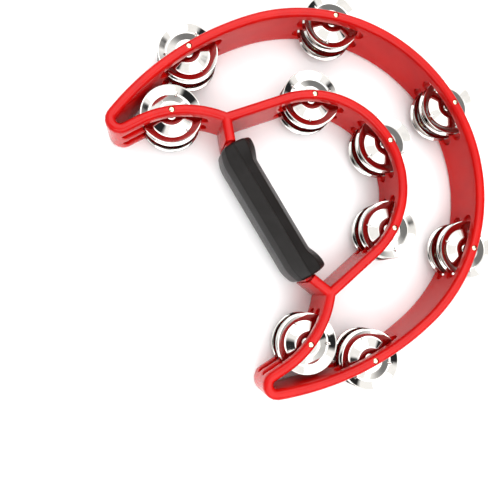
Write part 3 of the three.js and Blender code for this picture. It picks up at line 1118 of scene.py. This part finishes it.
def pin_outline():
    """(radius, height) from the foot to the top of a slightly domed head."""
    top = BAND_HEIGHT - PIN_RECESS
    neck = top - PIN_HEAD_HEIGHT
    brim = top - PIN_HEAD_HEIGHT / 2
    foot = PIN_FLOOR + PIN_PLAY
    outline = [(0, foot), (PIN_RADIUS * 0.8, foot), (PIN_RADIUS, foot + 0.4 * MM)]
    outline += [(PIN_RADIUS, neck), (PIN_HEAD_RADIUS, neck)]
    for i in range(DOME_STEPS):
        angle = QUARTER * i / DOME_STEPS
        outline.append((PIN_HEAD_RADIUS * math.cos(angle), brim + (top - brim) * math.sin(angle)))
    return outline + [(0, top)]


pin_shape = bmesh.new()
lathe(pin_shape, pin_outline(), Vector((0, 0, 0)))
pin_data = bpy.data.meshes.new("one_pin")
pin_shape.to_mesh(pin_data)
pin_shape.free()
one_pin = bpy.data.objects.new("one_pin", pin_data)
bpy.context.scene.collection.objects.link(one_pin)
print("one pin:", len(pin_data.polygons), "faces")


# %% Geometry Nodes: a pin on every marked point
def make_pin_tree():
    sockets = {"Pin": "NodeSocketObject", "Finish": "NodeSocketMaterial"}
    tree, given, result = new_tree("pins_on_points", sockets)
    pin = add(tree, "GeometryNodeObjectInfo")
    turned = add(tree, "FunctionNodeRandomValue", data_type="FLOAT")
    turned.inputs["Max"].default_value = math.tau
    turned.inputs["Seed"].default_value = 3
    spin = add(tree, "ShaderNodeCombineXYZ")
    here = add(tree, "GeometryNodeInputPosition")
    flat = add(tree, "ShaderNodeVectorMath", operation="MULTIPLY")
    flat.inputs[1].default_value = (1, 1, 0)
    outward = add(tree, "ShaderNodeVectorMath", operation="LENGTH")
    marked = add(tree, "GeometryNodeStoreNamedAttribute", data_type="FLOAT", domain="POINT")
    marked.inputs["Name"].default_value = "pin_distance"
    copies = add(tree, "GeometryNodeInstanceOnPoints")
    whole = add(tree, "GeometryNodeRealizeInstances")
    smooth = add(tree, "GeometryNodeSetShadeSmooth")
    paint = add(tree, "GeometryNodeSetMaterial")
    join(
        tree,
        (given.outputs["Pin"], pin.inputs["Object"]),
        (given.outputs["Geometry"], copies.inputs["Points"]),
        (here.outputs[0], flat.inputs[0]),
        (flat.outputs[0], outward.inputs[0]),
        (pin.outputs["Geometry"], marked.inputs["Geometry"]),
        (outward.outputs["Value"], marked.inputs["Value"]),
        (marked.outputs[0], copies.inputs["Instance"]),
        (turned.outputs["Value"], spin.inputs["Z"]),
        (spin.outputs[0], copies.inputs["Rotation"]),
        (copies.outputs[0], whole.inputs[0]),
        (whole.outputs[0], smooth.inputs["Geometry"]),
        (smooth.outputs[0], paint.inputs["Geometry"]),
        (given.outputs["Finish"], paint.inputs["Material"]),
        (paint.outputs[0], result.inputs[0]),
    )
    lay_out(tree)
    return tree


pin_points = bpy.data.meshes.new("pins")
pin_points.from_pydata([(*pin_place(name).to_2d(), 0) for name in stations], [], [])
pins = bpy.data.objects.new("pins", pin_points)
bpy.context.scene.collection.objects.link(pins)
run_tree(pins, make_pin_tree(), {"Pin": one_pin, "Finish": steel})
bpy.data.objects.remove(one_pin)
finish_mesh(pins, steel)
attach(pins, "frame")
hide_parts(*["pin_" + name for name in stations])
print("pins:", len(pins.data.polygons), "faces,", round(volume(pins) * 1e6, 2), "cm3")

# %% [markdown]
# ## Forty jingles
#
# A jingle is stamped from thin sheet: a dished crown with a rolled hole, a wall that slopes down to
# a valley, and a brim that turns up again. Three small nicks from the stamping tool lie in the
# valley. In a pair, one disc lies face down and the other face up. All forty are one shape, so
# one tree makes them: it turns a drawn section round the pin, presses the nicks in, turns the
# disc over if asked, and puts it on its pin. Every jingle is its own body, so each gets a mesh.

# %% The section of the pressed sheet
SHEET = 0.55 * MM
JINGLE_HEIGHT = 2.9 * MM
EDGE_STEPS = 4
# The section is drawn in plain millimetres, so the next six carry no unit.
HOLE_RADIUS = 2.15
JINGLE_RADIUS = 21
CROWN_RADIUS = 8.6
VALLEY_RADIUS = 15.2
BRIM_MIDDLE = 2.6  # height of the middle of the sheet at the rim
SECTION_STEP = 0.9  # between points along the drawn line

half_sheet = SHEET / MM / 2
crown_middle = JINGLE_HEIGHT / MM - half_sheet

# The middle of the sheet, outwards from the hole: radius, height, rounding.
SHEET_LINE = [
    (HOLE_RADIUS + half_sheet, crown_middle - 0.20, 0),
    (HOLE_RADIUS + 0.90, crown_middle - 0.25, 0.4),
    (HOLE_RADIUS + 1.50, crown_middle - 0.75, 0.4),
    (CROWN_RADIUS - 0.2, crown_middle, 0.7),
    (VALLEY_RADIUS, half_sheet, 0.9),
    (JINGLE_RADIUS - half_sheet, BRIM_MIDDLE, 0),
]


def sheet_section():
    """The closed outline of the sheet in the plane of radius and height, in metres."""
    middle = [p * MM for p in rounded(SHEET_LINE)]
    refined = []
    for before, after in zip(middle, middle[1:]):
        count = max(1, round((after - before).length / (SECTION_STEP * MM)))
        refined += [before.lerp(after, i / count) for i in range(count)]
    refined.append(middle[-1])
    ahead = [(b - a).normalized() for a, b in zip(refined, refined[1:])]
    along = [ahead[0]] + [(a + b).normalized() for a, b in zip(ahead, ahead[1:])] + [ahead[-1]]
    normals = [Vector((-d.y, d.x)) for d in along]
    upper = [p + n * SHEET / 2 for p, n in zip(refined, normals)]
    lower = [p - n * SHEET / 2 for p, n in zip(refined, normals)]
    turns = [math.pi * i / EDGE_STEPS for i in range(1, EDGE_STEPS)]
    rim = [
        refined[-1] + (normals[-1] * math.cos(a) + along[-1] * math.sin(a)) * SHEET / 2
        for a in turns
    ]
    hole = [
        refined[0] + (-normals[0] * math.cos(a) - along[0] * math.sin(a)) * SHEET / 2
        for a in turns
    ]
    return hole[::-1] + lower + rim[::-1] + upper[::-1]


section = sheet_section()
print("the section has", len(section), "points and is", round(max(p.y for p in section) / MM, 2), "mm high")

# %% Geometry Nodes: turn the section, nick it, place it
JINGLE_SIDES = 96
NICKS = 3
NICK_CROWDING = 0.7  # how strongly the columns crowd round the nicks


def make_jingle_tree():
    tree, given, result = new_tree("pressed_jingle", {
        "Sides": "NodeSocketInt",
        "Nick radius": "NodeSocketFloat",
        "Nick length": "NodeSocketFloat",
        "Nick width": "NodeSocketFloat",
        "Nick depth": "NodeSocketFloat",
        "Turn": "NodeSocketFloat",
        "Face down": "NodeSocketBool",
        "Face down height": "NodeSocketFloat",
        "Place": "NodeSocketVector",
        "Finish": "NodeSocketMaterial",
    })
    size = add(tree, "GeometryNodeAttributeDomainSize")
    sides = maths(tree, "ADD", given.outputs["Sides"], 1)
    rows = maths(tree, "ADD", size.outputs["Point Count"], 1)
    sheet = add(tree, "GeometryNodeMeshGrid")
    index = add(tree, "GeometryNodeInputIndex")
    row = maths(tree, "MODULO", index.outputs[0], rows)
    spot = maths(tree, "MODULO", row, size.outputs["Point Count"])
    column = maths(tree, "FLOOR", maths(tree, "DIVIDE", maths(tree, "ADD", index.outputs[0], 0.5), rows))
    here = add(tree, "GeometryNodeInputPosition")
    sample = add(tree, "GeometryNodeSampleIndex", data_type="FLOAT_VECTOR")
    drawn = add(tree, "ShaderNodeSeparateXYZ")
    radius = drawn.outputs["X"]

    # The columns crowd round the nicks, so that a few dozen are enough.
    even = maths(tree, "MULTIPLY", maths(tree, "DIVIDE", column, given.outputs["Sides"]), math.tau)
    wave = maths(tree, "SINE", maths(tree, "MULTIPLY", even, NICKS))
    angle = maths(tree, "SUBTRACT", even, maths(tree, "MULTIPLY", wave, NICK_CROWDING / NICKS))

    # A nick is a small oval dent that lies along the radius.
    third = math.tau / NICKS
    off = maths(tree, "PINGPONG", angle, third / 2)
    sideways = maths(tree, "DIVIDE", maths(tree, "MULTIPLY", off, radius), given.outputs["Nick width"])
    away = maths(tree, "SUBTRACT", radius, given.outputs["Nick radius"])
    lengthways = maths(tree, "DIVIDE", away, given.outputs["Nick length"])
    squares = [maths(tree, "MULTIPLY", side, side) for side in (sideways, lengthways)]
    distance = maths(tree, "ADD", *squares)
    fall = add(tree, "ShaderNodeMapRange", interpolation_type="SMOOTHSTEP", To_Min=1.0, To_Max=0.0)
    dent = maths(tree, "MULTIPLY", fall.outputs[0], given.outputs["Nick depth"])

    turned = maths(tree, "ADD", angle, given.outputs["Turn"])
    pressed = maths(tree, "SUBTRACT", drawn.outputs["Z"], dent)
    disc = add(tree, "ShaderNodeCombineXYZ")
    flipped = maths(tree, "SUBTRACT", 1.0, maths(tree, "MULTIPLY", given.outputs["Face down"], 2.0))
    over = add(tree, "ShaderNodeCombineXYZ", X=1.0)
    side_up = add(tree, "ShaderNodeVectorMath", operation="MULTIPLY")
    lifted = add(tree, "ShaderNodeCombineXYZ")
    raised = add(tree, "ShaderNodeVectorMath", operation="ADD")
    placed = add(tree, "ShaderNodeVectorMath", operation="ADD")
    lift = maths(tree, "MULTIPLY", given.outputs["Face down"], given.outputs["Face down height"])

    shaped = add(tree, "GeometryNodeSetPosition")
    marked = add(tree, "GeometryNodeStoreNamedAttribute", data_type="FLOAT", domain="POINT")
    marked.inputs["Name"].default_value = "pin_distance"
    closed = add(tree, "GeometryNodeMergeByDistance", Distance=0.001 * MM)
    smooth = add(tree, "GeometryNodeSetShadeSmooth")
    whole = add(tree, "GeometryNodeRealizeInstances")
    paint = add(tree, "GeometryNodeSetMaterial")
    join(
        tree,
        (given.outputs["Geometry"], size.inputs["Geometry"]),
        (sides, sheet.inputs["Vertices X"]),
        (rows, sheet.inputs["Vertices Y"]),
        (given.outputs["Geometry"], sample.inputs["Geometry"]),
        (here.outputs[0], sample.inputs["Value"]),
        (spot, sample.inputs["Index"]),
        (sample.outputs[0], drawn.inputs[0]),
        (distance, fall.inputs["Value"]),
        (maths(tree, "MULTIPLY", radius, maths(tree, "COSINE", turned)), disc.inputs["X"]),
        (maths(tree, "MULTIPLY", radius, maths(tree, "SINE", turned)), disc.inputs["Y"]),
        (pressed, disc.inputs["Z"]),
        (flipped, over.inputs["Y"]),
        (flipped, over.inputs["Z"]),
        (disc.outputs[0], side_up.inputs[0]),
        (over.outputs[0], side_up.inputs[1]),
        (lift, lifted.inputs["Z"]),
        (side_up.outputs[0], raised.inputs[0]),
        (lifted.outputs[0], raised.inputs[1]),
        (raised.outputs[0], placed.inputs[0]),
        (given.outputs["Place"], placed.inputs[1]),
        (sheet.outputs["Mesh"], marked.inputs["Geometry"]),
        (radius, marked.inputs["Value"]),
        (marked.outputs[0], shaped.inputs["Geometry"]),
        (placed.outputs[0], shaped.inputs["Position"]),
        (shaped.outputs[0], closed.inputs["Geometry"]),
        (closed.outputs[0], smooth.inputs["Geometry"]),
        (smooth.outputs[0], whole.inputs[0]),
        (whole.outputs[0], paint.inputs["Geometry"]),
        (given.outputs["Finish"], paint.inputs["Material"]),
        (paint.outputs[0], result.inputs[0]),
    )
    lay_out(tree)
    return tree


pressed_jingle = make_jingle_tree()
print("jingle tree:", len(pressed_jingle.nodes), "nodes")

# %% Every jingle on its pin
NICK_VALUES = {
    "Nick radius": VALLEY_RADIUS * MM,
    "Nick length": 1.3 * MM,
    "Nick width": 0.75 * MM,
    "Nick depth": 0.5 * MM,
}
TURN_STEP = 2.4  # radians between the nicks of one jingle and those of the next

section_mesh = bpy.data.meshes.new("jingle_section")
section_mesh.from_pydata([(p.x, 0, p.y) for p in section], [], [])


def make_jingle(node, turn):
    """A jingle that replaces the design's node of the same place."""
    low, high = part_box(node)
    disc = bpy.data.objects.new(node.replace("jingle", "disc"), section_mesh)
    bpy.context.scene.collection.objects.link(disc)
    values = {
        "Sides": JINGLE_SIDES,
        "Turn": turn,
        "Face down": node.endswith("lower"),
        "Face down height": JINGLE_HEIGHT,
        "Place": ((low.x + high.x) / 2, (low.y + high.y) / 2, low.z),
        "Finish": nickel,
        **NICK_VALUES,
    }
    run_tree(disc, pressed_jingle, values)
    finish_mesh(disc, nickel)
    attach(disc, node)
    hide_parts(node)
    return disc


jingle_nodes = sorted(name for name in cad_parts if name.startswith("jingle_"))
discs = [make_jingle(name, TURN_STEP * i) for i, name in enumerate(jingle_nodes)]
print(len(discs), "jingles of", len(discs[0].data.polygons), "faces,", round(volume(discs[0]) * 1e9), "mm3")
